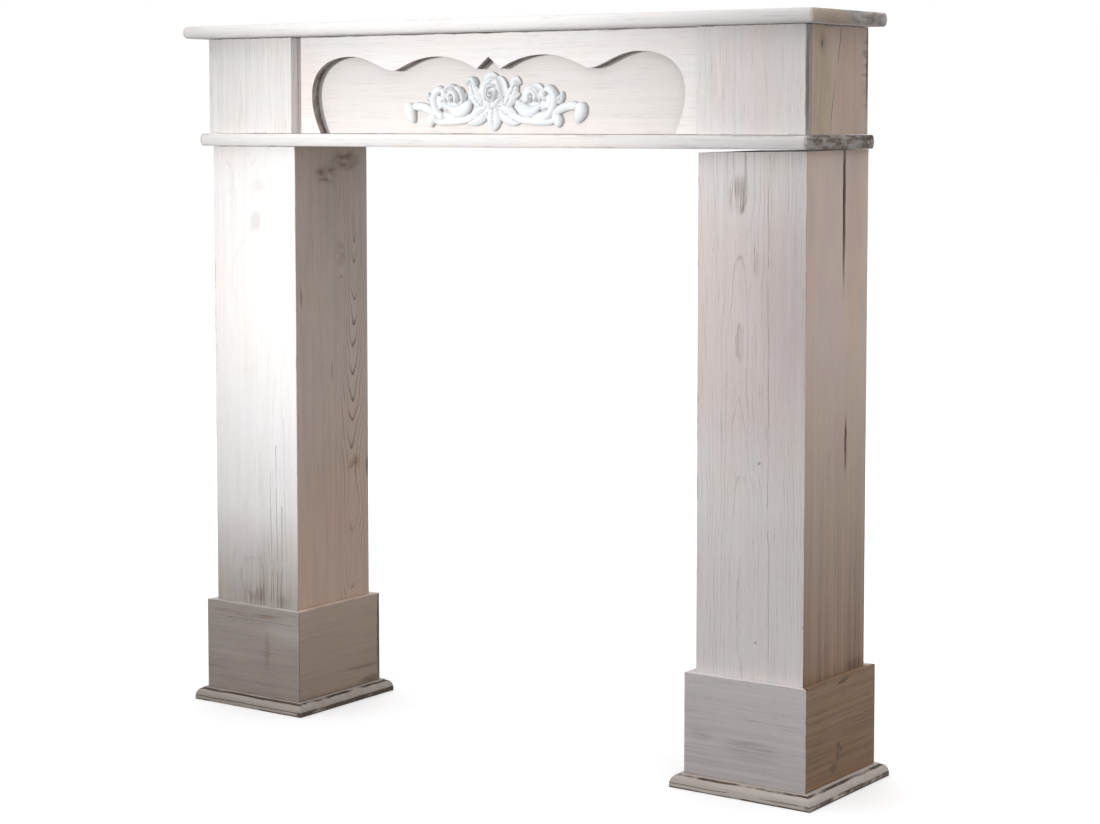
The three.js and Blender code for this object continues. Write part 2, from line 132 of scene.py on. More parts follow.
class Finish:
    """A finish being mixed: one material, its nodes reading the object's own place in mm."""

    def __init__(self, name, along=2, seed=0):
        self.material = bpy.data.materials.new(name)
        self.material.use_nodes = True
        self.tree = self.material.node_tree
        self.shader = self.tree.nodes["Principled BSDF"]
        self.along = along
        self.seed = seed
        own = self.add("ShaderNodeTexCoord").outputs["Object"]
        in_mm = self.add("ShaderNodeVectorMath", {0: own, "Scale": 1 / MM}, operation="SCALE")
        self.place = in_mm.outputs[0]
        self.x, self.y, self.z = self.add("ShaderNodeSeparateXYZ", {0: self.place}).outputs
        ragged = self.vector("SUBTRACT", self.grain(30, 4, 3.1, output=1), (0.5, 0.5, 0.5))
        self.frayed = self.vector("ADD", self.place, self.vector("MULTIPLY", ragged, (5, 5, 5)))

    def add(self, kind, sockets=(), **settings):
        node = self.tree.nodes.new(kind)
        for setting, value in settings.items():
            setattr(node, setting, value)
        for socket, value in dict(sockets).items():
            if isinstance(value, bpy.types.NodeSocket):
                self.tree.links.new(value, node.inputs[socket])
            else:
                node.inputs[socket].default_value = value
        return node

    def sum(self, operation, a, b=0.0, clamp=False):
        return self.add("ShaderNodeMath", {0: a, 1: b}, operation=operation, use_clamp=clamp).outputs[0]

    def vector(self, operation, a, b):
        return self.add("ShaderNodeVectorMath", {0: a, 1: b}, operation=operation).outputs[0]

    def step(self, value, low, high):
        """Smoothly from 0 at low to 1 at high; low may be the larger."""
        sockets = {"Value": value, "From Min": low, "From Max": high}
        return self.add("ShaderNodeMapRange", sockets, interpolation_type="SMOOTHSTEP").outputs[0]

    def blend(self, amount, under, over, how="MIX"):
        sockets = {0: amount, 6: under, 7: over}
        return self.add("ShaderNodeMix", sockets, data_type="RGBA", blend_type=how).outputs[2]

    def grain(self, length, width, shift=0.0, detail=3, rough=0.55, output=0):
        """Noise in waves of the given length along the wood and width across it."""
        scale = [1 / width] * 3
        scale[self.along] = 1 / length
        start = self.seed * 7.31 + shift * 3.7
        sockets = {"Vector": self.place, "Scale": scale, "Location": (start, start * 1.7, -start)}
        drawn = self.add("ShaderNodeMapping", sockets).outputs[0]
        sockets = {"Vector": drawn, "Scale": 1.0, "Detail": detail, "Roughness": rough}
        return self.add("ShaderNodeTexNoise", sockets).outputs[output]

    def place_noise(self, size, shift, detail=4):
        """Noise in waves of one size, or of one size along each axis."""
        start = self.seed * 5.17 + shift * 2.9
        scale = [1 / wave for wave in (size if isinstance(size, tuple) else (size,) * 3)]
        sockets = {"Vector": self.place, "Scale": scale, "Location": (start, -start, start * 1.3)}
        drawn = self.add("ShaderNodeMapping", sockets).outputs[0]
        return self.add("ShaderNodeTexNoise", {"Vector": drawn, "Scale": 1.0, "Detail": detail}).outputs[0]

    def patch(self, centre, radii, soft=0.5):
        """1 inside a ragged ellipsoid and 0 outside it."""
        sockets = {"Vector": self.frayed, "Location": centre, "Scale": radii}
        local = self.add("ShaderNodeMapping", sockets, vector_type="TEXTURE").outputs[0]
        far = self.add("ShaderNodeVectorMath", {0: local}, operation="LENGTH").outputs["Value"]
        return self.step(far, 1 + soft, 1 - soft)

    def rings(self, pith, tilt, pitch, thick=0.16, sway=6):
        """Growth rings round a pith tilted by some degrees: 1 on the hard late wood of each ring."""
        turned = tuple(math.radians(angle) for angle in tilt)
        drift = self.vector("SUBTRACT", self.grain(240, 900, 5.9, detail=2, output=1), (0.5, 0.5, 0.5))
        swayed = self.vector("ADD", self.place, self.vector("MULTIPLY", drift, (sway * pitch,) * 3))
        sockets = {"Vector": swayed, "Location": pith, "Rotation": turned}
        local = self.add("ShaderNodeMapping", sockets, vector_type="TEXTURE").outputs[0]
        across = [1, 1, 1]
        across[self.along] = 0
        flat = self.vector("MULTIPLY", local, across)
        radius = self.add("ShaderNodeVectorMath", {0: flat}, operation="LENGTH").outputs["Value"]
        waver = self.sum("MULTIPLY", self.grain(300, 40, 5.2, detail=2), 2.2 * pitch)
        waver = self.sum("ADD", waver, self.sum("MULTIPLY", self.grain(70, 16, 5.6, detail=3), 0.6 * pitch))
        turns = self.sum("DIVIDE", self.sum("ADD", radius, waver), pitch)
        within = self.sum("FRACT", turns)
        return self.sum("MULTIPLY", self.step(within, 0.96 - thick, 0.96), self.step(within, 1.0, 0.98))

    def crack(self, axis, low, high, width):
        """1 along a line that wanders up the board from low to high, each a height and a place."""
        drift = self.sum("MULTIPLY", self.step(self.z, low[0], high[0]), high[1] - low[1])
        waver = self.sum("MULTIPLY", self.sum("SUBTRACT", self.grain(60, 200, 9.3, detail=4), 0.5), 7)
        line = self.sum("ADD", self.sum("ADD", drift, low[1]), waver)
        off = self.sum("ABSOLUTE", self.sum("SUBTRACT", (self.x, self.y)[axis], line))
        broken = self.step(self.grain(45, 300, 9.7, detail=3), 0.34, 0.5)
        above = self.step(self.z, low[0] - 1, low[0])
        below = self.step(self.z, high[0] + 1, high[0])
        drawn = self.sum("MULTIPLY", self.step(off, width, 0.3 * width), broken)
        return self.sum("MULTIPLY", drawn, self.sum("MULTIPLY", above, below))

    def arris(self, lo, hi):
        """Distance in mm from the nearest arris of the board between two corners."""
        low = self.vector("SUBTRACT", self.place, tuple(Vector(lo) / MM))
        high = self.vector("SUBTRACT", tuple(Vector(hi) / MM), self.place)
        near = self.vector("MINIMUM", low, high)
        x, y, z = self.add("ShaderNodeSeparateXYZ", {0: near}).outputs
        smaller = self.sum("MINIMUM", x, y)
        larger = self.sum("MAXIMUM", x, y)
        return self.sum("MAXIMUM", smaller, self.sum("MINIMUM", larger, z))

    def surface(self, colour, roughness, height, relief):
        sockets = {"Height": height, "Strength": 0.6, "Distance": relief * MM}
        bump = self.add("ShaderNodeBump", sockets).outputs[0]
        self.tree.links.new(colour, self.shader.inputs["Base Color"])
        if isinstance(roughness, float):
            self.shader.inputs["Roughness"].default_value = roughness
        else:
            self.tree.links.new(roughness, self.shader.inputs["Roughness"])
        self.tree.links.new(bump, self.shader.inputs["Normal"])
        self.shader.inputs["Specular IOR Level"].default_value = 0.3
        return self.material


pine = (paint(112, 88, 72), paint(172, 148, 126))
grey_pine = (paint(92, 80, 72), paint(146, 132, 122))
white_wash = (paint(240, 238, 238), paint(238, 234, 231))
warm_wash = (paint(236, 216, 201), paint(226, 208, 198))
dull_wash = (paint(222, 203, 190), paint(212, 196, 186))
smudge_tint = paint(190, 175, 166)
dark_stain = paint(58, 46, 38)


def washed(name, corners, along=2, seed=0, cover=(0.9, 0.9), fade=(0, 1000), streaks=0.12, clouds=0.1,
           fibres=0.25, rings=None, line=0.25, worn=0.5, worn_width=1.6, wood=pine, wash=white_wash,
           marks=(), cracks=(), figured=(), flecks=0.22, relief=0.35):
    """Thin white wash over softwood. cover is how much of the wood it hides at the two heights of
    fade. Marks are patches: dark ones and smudges stain, bare, streaky and flaky ones lack wash,
    thick ones have more of it, and one given a colour is tinted. Cracks are fine dark lines up the
    board, and the rings are darker where the board is figured. Places and sizes are in mm."""
    mix = Finish(name, along, seed)
    streak = mix.grain(420, 9, 1.0, detail=4, rough=0.6)
    cloud = mix.grain(110, 45, 2.0)
    fine = mix.grain(60, 0.9, 4.0, detail=4, rough=0.65)
    fibre = mix.step(fine, 0.56, 0.7)
    hides = mix.add("ShaderNodeMapRange", {"Value": mix.z, "From Min": fade[0], "From Max": fade[1],
                                           "To Min": cover[0], "To Max": cover[1]}).outputs[0]
    for layer, middle, amount in ((streak, 0.5, 2 * streaks), (cloud, 0.5, 2 * clouds), (fibre, 0, -fibres)):
        part = mix.sum("MULTIPLY", mix.sum("SUBTRACT", layer, middle), amount)
        hides = mix.sum("ADD", hides, part)
    late = fibre
    if rings:
        ring = mix.rings(*rings)
        broken = mix.step(mix.grain(150, 9, 6.0, detail=4), 0.38, 0.66)
        late = mix.sum("MULTIPLY", ring, broken)
        hides = mix.sum("SUBTRACT", hides, mix.sum("MULTIPLY", late, line))
    edge = mix.step(mix.arris(*corners), worn_width, 0.2)
    rubbed = mix.sum("MULTIPLY", edge, mix.step(mix.grain(70, 25, 7.0, detail=6, rough=0.7), 0.5, 0.62))
    hides = mix.sum("SUBTRACT", hides, mix.sum("MULTIPLY", rubbed, worn))
    fleck = mix.step(mix.grain(9, 1.0, 11.0, detail=2), 0.66, 0.76)
    fleck = mix.sum("MULTIPLY", fleck, mix.step(mix.place_noise(60, 12.0), 0.42, 0.6))
    stain = mix.sum("MULTIPLY", fleck, flecks)
    if figured:
        centre, radii, amount = figured
        gaps = mix.step(mix.grain(60, 14, 6.5), 0.3, 0.5)
        figure = mix.sum("MULTIPLY", mix.patch(centre, radii, soft=0.6), gaps)
        figure = mix.sum("MULTIPLY", mix.sum("MULTIPLY", ring, figure), amount)
        stain = mix.sum("MAXIMUM", stain, figure)
    tints = []
    for kind, centre, radii, amount in marks:
        part = mix.sum("MULTIPLY", mix.patch(centre, radii), amount)
        if kind == "dark":
            stain = mix.sum("MAXIMUM", stain, part)
        elif kind == "streaky":
            streaky = mix.step(mix.grain(70, 3, 9.0, detail=4, rough=0.65), 0.42, 0.62)
            hides = mix.sum("SUBTRACT", hides, mix.sum("MULTIPLY", part, streaky))
        elif kind == "flaky":
            flakes = mix.step(mix.place_noise((9, 24, 7), 10.5, detail=8), 0.38, 0.66)
            hides = mix.sum("SUBTRACT", hides, mix.sum("MULTIPLY", part, flakes))
        elif kind == "smudge":
            ragged = mix.step(mix.place_noise((13, 19, 11), 14.0, detail=6), 0.3, 0.7)
            tints.append((mix.sum("MULTIPLY", part, ragged), smudge_tint))
        elif isinstance(kind, tuple):
            tints.append((part, kind))
        else:
            hides = mix.sum("ADD" if kind == "thick" else "SUBTRACT", hides, part)
    for axis, low, high, width, amount in cracks:
        stain = mix.sum("MAXIMUM", stain, mix.sum("MULTIPLY", mix.crack(axis, low, high, width), amount))
    hides = mix.sum("ADD", hides, 0, clamp=True)
    bare = mix.blend(mix.step(mix.grain(300, 5, 8.0), 0.3, 0.7), wood[0], wood[1])
    bare = mix.blend(mix.sum("MULTIPLY", late, 0.5), bare, wood[0], how="MULTIPLY")
    white = mix.blend(mix.step(cloud, 0.35, 0.65), wash[0], wash[1])
    colour = mix.blend(hides, bare, white)
    for part, tint in tints:
        colour = mix.blend(part, colour, tint, how="MULTIPLY")
    colour = mix.blend(stain, colour, dark_stain)
    rough = mix.add("ShaderNodeMapRange", {"Value": hides, "To Min": 0.6, "To Max": 0.86}).outputs[0]
    height = mix.sum("ADD", mix.sum("MULTIPLY", hides, 0.7), mix.sum("MULTIPLY", fine, 0.5))
    return mix.surface(colour, rough, height, relief)


def slices(bm, axis, every):
    """Cuts a board across at even distances, for its arrises to be rubbed unevenly."""
    places = [vert.co[axis] for vert in bm.verts]
    start, length = min(places), max(places) - min(places)
    count = max(2, round(length / every))
    across = Vector((0, 0, 0))
    across[axis] = 1
    for cut in range(1, count):
        whole = bm.verts[:] + bm.edges[:] + bm.faces[:]
        place = across * (start + length * cut / count)
        bmesh.ops.bisect_plane(bm, geom=whole, plane_co=place, plane_no=across)


def rub(bm, depth, seed):
    """Rubs the arrises down unevenly, never outwards."""
    bm.normal_update()
    for vert in bm.verts:
        long_wave = noise.noise(vert.co * 9 + Vector((seed, 0, 0)))
        short_wave = noise.noise(vert.co * 70 + Vector((0, seed, 0)))
        wear = max(0.0, 0.5 + long_wave) * 0.6 + max(0.0, short_wave)
        vert.co -= vert.normal * depth * MM * wear


def fitted(name, bm, node, slot, *finishes):
    """Puts a finished board in the place of its solid."""
    mesh = bpy.data.meshes.new(name)
    bm.to_mesh(mesh)
    bm.free()
    mesh.shade_smooth()
    mesh.set_sharp_from_angle(angle=math.radians(21))
    for finish in finishes:
        mesh.materials.append(finish)
    piece = bpy.data.objects.new(name, mesh)
    bpy.context.scene.collection.objects.link(piece)
    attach(piece, "root")
    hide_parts(node)
    return piece


plate_proud = 14 * MM
plate_ledge = 5.5 * MM
plate_step = 1.5 * MM
plate_fillet = 4 * MM
round_in = plate_proud - plate_ledge


def moulded_plate(lo, hi):
    """The slab's bottom square, then its top face raised and drawn in up the worked edge."""
    bm = bmesh.new()
    size = Vector((hi.x - lo.x, hi.y - lo.y, plate_fillet))
    middle = Vector(((lo.x + hi.x) / 2, (lo.y + hi.y) / 2, lo.z + plate_fillet / 2))
    bmesh.ops.create_cube(bm, matrix=Matrix.LocRotScale(middle, None, size))
    top = max(bm.faces, key=lambda face: face.calc_center_median().z)
    rise = hi.z - lo.z - plate_fillet - plate_step
    steps = 6
    for i in range(steps):
        turns = [math.pi / 2 * j / steps for j in (i, i + 1)]
        inwards = round_in * (math.cos(turns[0]) - math.cos(turns[1]))
        upwards = rise * (math.sin(turns[1]) - math.sin(turns[0]))
        bmesh.ops.inset_region(bm, faces=[top], thickness=inwards, depth=upwards, use_even_offset=True)
    bmesh.ops.inset_region(bm, faces=[top], thickness=0.5 * MM, depth=0, use_even_offset=True)
    bmesh.ops.inset_region(bm, faces=[top], thickness=0.3 * MM, depth=plate_step, use_even_offset=True)
    slices(bm, 0, 12 * MM)
    slices(bm, 1, 12 * MM)
    return bm


def plate_finish(name, lo, hi, seed, cover, worn_bands):
    """Wash with bands rubbed bare round the edge, each between two heights in mm."""
    mix = Finish(name, 0, seed)
    streak = mix.grain(200, 8, 1.0, detail=4)
    cloud = mix.grain(60, 25, 2.0)
    fine = mix.grain(40, 0.9, 4.0, detail=4)
    hides = mix.sum("ADD", cover - 0.35, mix.sum("MULTIPLY", streak, 0.35))
    hides = mix.sum("ADD", hides, mix.sum("MULTIPLY", cloud, 0.35))
    waver = mix.sum("MULTIPLY", mix.sum("SUBTRACT", mix.place_noise(35, 10.0), 0.5), 3)
    height = mix.sum("ADD", mix.z, waver)
    for low, high, amount, shift in worn_bands:
        above = mix.step(height, low - 0.5, low + 0.4)
        below = mix.step(height, high + 0.5, high - 0.4)
        broken = mix.step(mix.place_noise(70, shift), 0.38, 0.5)
        band = mix.sum("MULTIPLY", mix.sum("MULTIPLY", above, below), broken)
        hides = mix.sum("SUBTRACT", hides, mix.sum("MULTIPLY", band, amount))
    end = mix.step(mix.x, hi.x / MM - 10, hi.x / MM - 6)
    end_band = mix.sum("MULTIPLY", end, mix.step(height, 7.5, 5.5))
    end_worn = mix.sum("MULTIPLY", end_band, mix.step(mix.place_noise(30, 13.0), 0.3, 0.55))
    hides = mix.sum("SUBTRACT", hides, mix.sum("MULTIPLY", end_worn, 0.6))
    edge = mix.step(mix.arris(lo, hi), 2.0, 0.3)
    rubbed = mix.sum("MULTIPLY", edge, mix.step(mix.place_noise(26, 7.0), 0.5, 0.66))
    hides = mix.sum("SUBTRACT", hides, mix.sum("MULTIPLY", rubbed, 0.4), clamp=True)
    bare = mix.blend(mix.step(mix.grain(120, 4, 8.0), 0.3, 0.7), paint(62, 51, 44), paint(104, 89, 78))
    white = mix.blend(mix.step(cloud, 0.35, 0.65), paint(232, 222, 214), paint(222, 210, 200))
    colour = mix.blend(hides, bare, white)
    rough = mix.add("ShaderNodeMapRange", {"Value": hides, "To Min": 0.6, "To Max": 0.86}).outputs[0]
    height = mix.sum("ADD", mix.sum("MULTIPLY", hides, 0.7), mix.sum("MULTIPLY", fine, 0.4))
    return mix.surface(colour, rough, height, 0.4)


plate_bands = ((-3, 1.4, 0.8, 11.0), (5.4, 6.4, 0.5, 14.0), (15.3, 16.8, 0.7, 12.0))
for side, cover, seed in (("left", 0.5, 1), ("right", 0.7, 2)):
    node = f"{side}_base_plate"
    lo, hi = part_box(node)
    bm = moulded_plate(lo, hi)
    rub(bm, 0.25, seed)
    finish = plate_finish(f"{side}_plate_wash", lo, hi, seed, cover, plate_bands)
    fitted(f"{side}_base_plate_moulded", bm, node, "whitewashed_board", finish)

# Plinths: four short boards mitred round the foot of each leg, grain level, on the base plate.
# The right plinth's outer board is nearly bare, with a knot and a chip out of its top edge.
outward = {
    "front": Vector((0, -1, 0)),
    "back": Vector((0, 1, 0)),
    "inner": Vector((1, 0, 0)),
    "outer": Vector((-1, 0, 0)),
}


def facing_of(side, face):
    """Which way a board faces: the left leg's outer boards face -X and the right one's +X."""
    direction = outward[face]
    return direction if side == "left" or not direction.x else -direction


def round_arrises(bm, arrises, radius):
    """Rounds a board's arrises over by a radius in mm."""
    bmesh.ops.bevel(
        bm, geom=arrises, offset=radius * MM, segments=2, profile=0.5, affect="EDGES", material=-1
    )


def mitred_board(lo, hi, facing, soft=0.7, every=12):
    """A board with its two upright ends cut at 45 degrees behind its face."""
    bm = bmesh.new()
    bmesh.ops.create_cube(bm, matrix=Matrix.LocRotScale((lo + hi) / 2, None, hi - lo))
    sideways = Vector((-facing.y, facing.x, 0))
    for end in (sideways, -sideways):
        out = facing + end
        corner = Vector((hi.x if out.x > 0 else lo.x, hi.y if out.y > 0 else lo.y, lo.z))
        whole = bm.verts[:] + bm.edges[:] + bm.faces[:]
        mitre = end - facing
        cut = bmesh.ops.bisect_plane(bm, geom=whole, plane_co=corner, plane_no=mitre, clear_outer=True)
        rim = [part for part in cut["geom_cut"] if isinstance(part, bmesh.types.BMEdge)]
        bmesh.ops.contextual_create(bm, geom=rim)
    bmesh.ops.recalc_face_normals(bm, faces=bm.faces)
    arrises = [edge for edge in bm.edges if edge.calc_face_angle(0) > 0.5]
    round_arrises(bm, arrises, soft)
    slices(bm, 2, every * MM)
    slices(bm, 0 if facing.y else 1, every * MM)
    return bm


def cutter_from(outline, x0, x1):
    """An upright outline, in mm of Y and Z, made into a solid between two places along X."""
    bm = bmesh.new()
    face = bm.faces.new([bm.verts.new((x0, y * MM, z * MM)) for y, z in outline])
    raised = bmesh.ops.extrude_face_region(bm, geom=[face])["geom"]
    moved = [part for part in raised if isinstance(part, bmesh.types.BMVert)]
    bmesh.ops.translate(bm, vec=(x1 - x0, 0, 0), verts=moved)
    bmesh.ops.recalc_face_normals(bm, faces=bm.faces)
    mesh = bpy.data.meshes.new("cutter")
    bm.to_mesh(mesh)
    bm.free()
    return bpy.data.objects.new("cutter", mesh)


def cut_away(piece, cutters):
    """Takes the cutters' shapes out of a piece, for good."""
    for cutter in cutters:
        bpy.context.scene.collection.objects.link(cutter)
        cut = piece.modifiers.new("cut", "BOOLEAN")
        cut.operation = "DIFFERENCE"
        cut.solver = "EXACT"
        cut.object = cutter
    bpy.context.view_layer.update()
    seen_now = bpy.context.evaluated_depsgraph_get()
    cut_mesh = bpy.data.meshes.new_from_object(piece.evaluated_get(seen_now))
    piece.modifiers.clear()
    piece.data = cut_mesh
    for cutter in cutters:
        bpy.data.objects.remove(cutter)


brown_pine = (paint(112, 82, 60), paint(157, 124, 97))
soft_pine = (paint(120, 98, 82), paint(143, 121, 103))
# The faces of the plinths' boards, in mm
plinth_front = -88
plinth_inner = -329.5
plinth_outer = 509.5
# Painted highlight: a band of thicker wash along the plinths' top edges, where the rounded arris catches the
# light.
top_edge_highlight = ("thick", (0, 0, 151.2), (600, 200, 1.8), 0.4)
plinth_look = {
    ("left", "front"): dict(
        cover=(0.25, 0.33), fade=(20, 150), streaks=0.05, clouds=0.1, fibres=0.1, wood=soft_pine,
        flecks=0.4,
        marks=[
            ("bare", (-392, plinth_front, 85), (5, 9, 24), 0.09),
            ("dark", (-420, plinth_front, 129), (88, 5, 0.9), 0.3),
            ("streaky", (-430, plinth_front, 138), (60, 5, 5), 0.2),
            ("thick", (-350, plinth_front, 120), (40, 9, 16), 0.1),
            top_edge_highlight,
        ],
    ),
    ("left", "inner"): dict(
        cover=(0.34, 0.54), fade=(20, 150), streaks=0.04, clouds=0.1, fibres=0.08,
        wood=(paint(124, 99, 78), paint(146, 118, 95)), wash=dull_wash, flecks=0.3,
        marks=[
            ("dark", (plinth_inner, 93, 85), (4, 3, 70), 0.75),
            ("dark", (plinth_inner, 60, 45), (4, 40, 2), 0.3),
            ("dark", (plinth_inner, 75, 24), (4, 22, 5), 0.4),
            top_edge_highlight,
        ],
    ),
    ("right", "front"): dict(
        cover=(0.58, 0.72), fade=(20, 150), streaks=0.07, clouds=0.1, fibres=0.2, wood=grey_pine,
        wash=(paint(239, 233, 234), paint(235, 229, 229)), flecks=0.35,
        marks=[
            ("streaky", (356, plinth_front, 72), (14, 9, 8), 0.16),
            ("bare", (430, plinth_front, 62), (34, 9, 12), 0.08),
            ("streaky", (440, plinth_front, 62), (40, 9, 14), 0.14),
            top_edge_highlight,
        ],
    ),
    ("right", "outer"): dict(
        cover=(0.0, 0.09), fade=(20, 150), streaks=0.05, clouds=0.08, fibres=0.08,
        wood=(paint(128, 98, 75), paint(149, 117, 90)), wash=warm_wash, flecks=0.35,
        marks=[
            ("dark", (plinth_outer, -3, 63), (5, 4, 4), 0.65),
            ("dark", (plinth_outer, 4, 58), (5, 4, 3), 0.6),
            ("dark", (plinth_outer, -4, 51), (5, 3, 8), 0.5),
            ("dark", (plinth_outer, -16, 36), (5, 9, 7), 0.35),
            ("dark", (plinth_outer, 18, 49), (5, 22, 2), 0.3),
        ],
    ),
}
plain_plinth = dict(cover=(0.72, 0.8), fade=(20, 150))
# The chip's outline on the board's face, in mm of Y and Z
chip = [(-8, 142), (6, 147.5), (28, 152), (52, 152), (46, 149), (28, 145), (14, 142.5)]
chip_depth = 3 * MM
for side in ("left", "right"):
    for face in ("front", "back", "inner", "outer"):
        node = f"{side}_plinth_{face}"
        lo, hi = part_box(node)
        facing = facing_of(side, face)
        seed = 10 + 4 * (side == "right") + list(outward).index(face)
        look = plinth_look.get((side, face), plain_plinth)
        finish = washed(f"{node}_wash", (lo, hi), along=0 if facing.y else 1, seed=seed, **look)
        bm = mitred_board(lo, hi, facing)
        rub(bm, 0.35, seed)
        slot = "thin_washed_board" if facing.x > 0 else "whitewashed_board"
        piece = fitted(f"{node}_board", bm, node, slot, finish)
        if (side, face) == ("right", "outer"):
            cut_away(piece, [cutter_from(chip, hi.x - chip_depth, hi.x + 2 * MM)])

# Legs: four boards mitred round a hollow, grain upright. The right leg's top is sawn out of square
# and bears only at its outer back corner; its outer board has split along the grain in two places.
top_lack_inwards = 2.5 * MM
top_lack_forwards = 1.5 * MM
# The faces of the legs' boards, in mm
leg_front = -77
leg_inner = -340.5
leg_outer = 498.5
leg_look = {
    # The left leg's front shows more bare wood towards its foot: partly a thinner wash, partly painted shade
    # below the pool of light.
    ("left", "front"): dict(
        cover=(0.46, 0.95), fade=(160, 300), streaks=0.09, clouds=0.06, fibres=0.2,
        rings=((-430, 20, 500), (1.5, 0, 0), 7), line=0.08, wood=soft_pine, flecks=0.3,
        marks=[
            ("streaky", (-410, leg_front, 160), (60, 9, 22), 0.15),
            ("streaky", (-400, leg_front, 205), (30, 9, 50), 0.16),
            ("dark", (-417, leg_front, 164), (11, 9, 9), 0.16),
            ("dark", (-371, leg_front, 160), (11, 9, 8), 0.2),
            (paint(234, 234, 236), (-417, leg_front, 716), (10, 9, 14), 0.9),
            (paint(240, 240, 241), (-411, leg_front, 768), (12, 9, 9), 0.7),
        ],
        cracks=[
            (0, (150, -391), (350, -393), 1.0, 0.4),
            (0, (150, -380), (390, -382), 1.1, 0.4),
            (0, (150, -373), (300, -371), 1.2, 0.45),
            (0, (150, -363), (430, -366), 0.9, 0.3),
        ],
    ),
    ("left", "inner"): dict(
        cover=(0.94, 0.94), fade=(150, 820), streaks=0.09, clouds=0.08, fibres=0.22, flecks=0.34,
        rings=((leg_inner, 50, 740), (0, 4.6, 0), 3.6, 0.26, 12), line=0.45,
        figured=((leg_inner, 50, 500), (9, 28, 200), 0.5), wood=grey_pine, wash=dull_wash,
        worn=0.2,
        marks=[
            ("smudge", (leg_inner, -8, 784), (4, 22, 13), 1.0),
            ("smudge", (leg_inner, 34, 804), (4, 28, 13), 1.0),
            ("smudge", (leg_inner, 24, 668), (4, 10, 16), 0.8),
            ("smudge", (leg_inner, 50, 352), (4, 16, 12), 0.8),
            ("dark", (leg_inner, -65, 608), (4, 2.6, 15), 0.4),
            ("dark", (leg_inner, 2, 497), (4, 2.4, 15), 0.3),
            ("dark", (leg_inner, 25, 633), (4, 1.6, 1.6), 0.5),
            ("dark", (leg_inner, 82, 345), (4, 2.4, 14), 0.5),
            (paint(250, 238, 230), (leg_inner, 4, 150), (6, 130, 260), 0.9),
        ],
    ),
    ("right", "front"): dict(
        cover=(0.96, 0.77), fade=(150, 820), streaks=0.1, clouds=0.06, fibres=0.36, flecks=0.34,
        rings=((404, -46, 700), (-1.3, 0, 0), 4.4), line=0.26, wood=grey_pine, worn=0.7,
        wash=(paint(240, 235, 234), paint(237, 230, 227)),
        marks=[
            ("streaky", (402, leg_front, 768), (14, 9, 22), 0.45),
            ("streaky", (425, leg_front, 690), (5, 9, 20), 0.3),
            (paint(241, 239, 240), (472, leg_front, 640), (34, 9, 120), 0.7),
            (paint(243, 236, 236), (420, leg_front, 590), (130, 9, 150), 0.9),
            ("dark", (433, leg_front, 429), (2, 9, 2), 0.5),
            ("dark", (429, leg_front, 199), (1.6, 9, 1.6), 0.45),
        ],
        cracks=[(0, (160, 447), (820, 444), 0.8, 0.4)],
    ),
    ("right", "outer"): dict(
        cover=(0.14, 0.99), fade=(150, 590), streaks=0.06, clouds=0.08, fibres=0.12,
        rings=((460, -20, 450), (0, -1.6, 0), 5.5), line=0.07, wood=brown_pine, wash=warm_wash,
        worn=0.3,
        marks=[
            (paint(246, 230, 224), (leg_outer, -66, 500), (6, 11, 400), 0.35),
            (paint(246, 230, 224), (leg_outer, 50, 700), (6, 24, 160), 0.4),
            ("dark", (leg_outer, 20.5, 760), (20, 3.6, 100), 0.8),
            ("dark", (leg_outer, 29.5, 447), (20, 3, 32), 0.75),
            ("dark", (leg_outer, 60, 158), (4, 22, 6), 0.3),
        ],
        cracks=[(1, (190, 62), (290, 57), 0.9, 0.5)],
    ),
}
plain_leg = dict(cover=(0.8, 0.86), fade=(150, 820))
# The splits' outlines on the board's face, in mm of Y and Z
long_split = [(17.8, 830), (16.8, 753), (20, 685), (22.6, 645), (22, 690), (21.5, 753), (23, 830)]
short_split = [(30.5, 416), (27.5, 437), (26.8, 455), (28.8, 478), (32.4, 458), (31.8, 434)]


def saw_out_of_square(bm, lo, hi):
    """Lowers the top of a board of the right leg towards the leg's inner front corner."""
    outer_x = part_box("right_leg_outer")[1].x
    inner_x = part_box("right_leg_inner")[0].x
    back_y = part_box("right_leg_back")[1].y
    front_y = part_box("right_leg_front")[0].y
    full_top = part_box("right_leg_outer")[1].z
    for vert in bm.verts:
        if vert.co.z > (lo.z + hi.z) / 2:
            inwards = (outer_x - vert.co.x) / (outer_x - inner_x)
            forwards = (back_y - vert.co.y) / (back_y - front_y)
            lack = top_lack_inwards * inwards + top_lack_forwards * forwards
            share = (vert.co.z - lo.z) / (hi.z - lo.z)
            vert.co.z -= max(0, lack - (full_top - hi.z)) * max(0, 2 * share - 1)


for side in ("left", "right"):
    for face in ("front", "back", "inner", "outer"):
        node = f"{side}_leg_{face}"
        lo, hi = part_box(node)
        facing = facing_of(side, face)
        seed = 20 + 4 * (side == "right") + list(outward).index(face)
        look = leg_look.get((side, face), plain_leg)
        finish = washed(f"{node}_wash", (lo, hi), along=2, seed=seed, **look)
        bm = mitred_board(lo, hi, facing)
        rub(bm, 0.35, seed)
        if side == "right":
            saw_out_of_square(bm, lo, hi)
        slot = "thin_washed_board" if facing.x > 0 else "whitewashed_board"
        piece = fitted(f"{node}_board", bm, node, slot, finish)
        if node == "right_leg_outer":
            through = (lo.x - 5 * MM, hi.x + 5 * MM)
            cut_away(piece, [cutter_from(split, *through) for split in (long_split, short_split)])

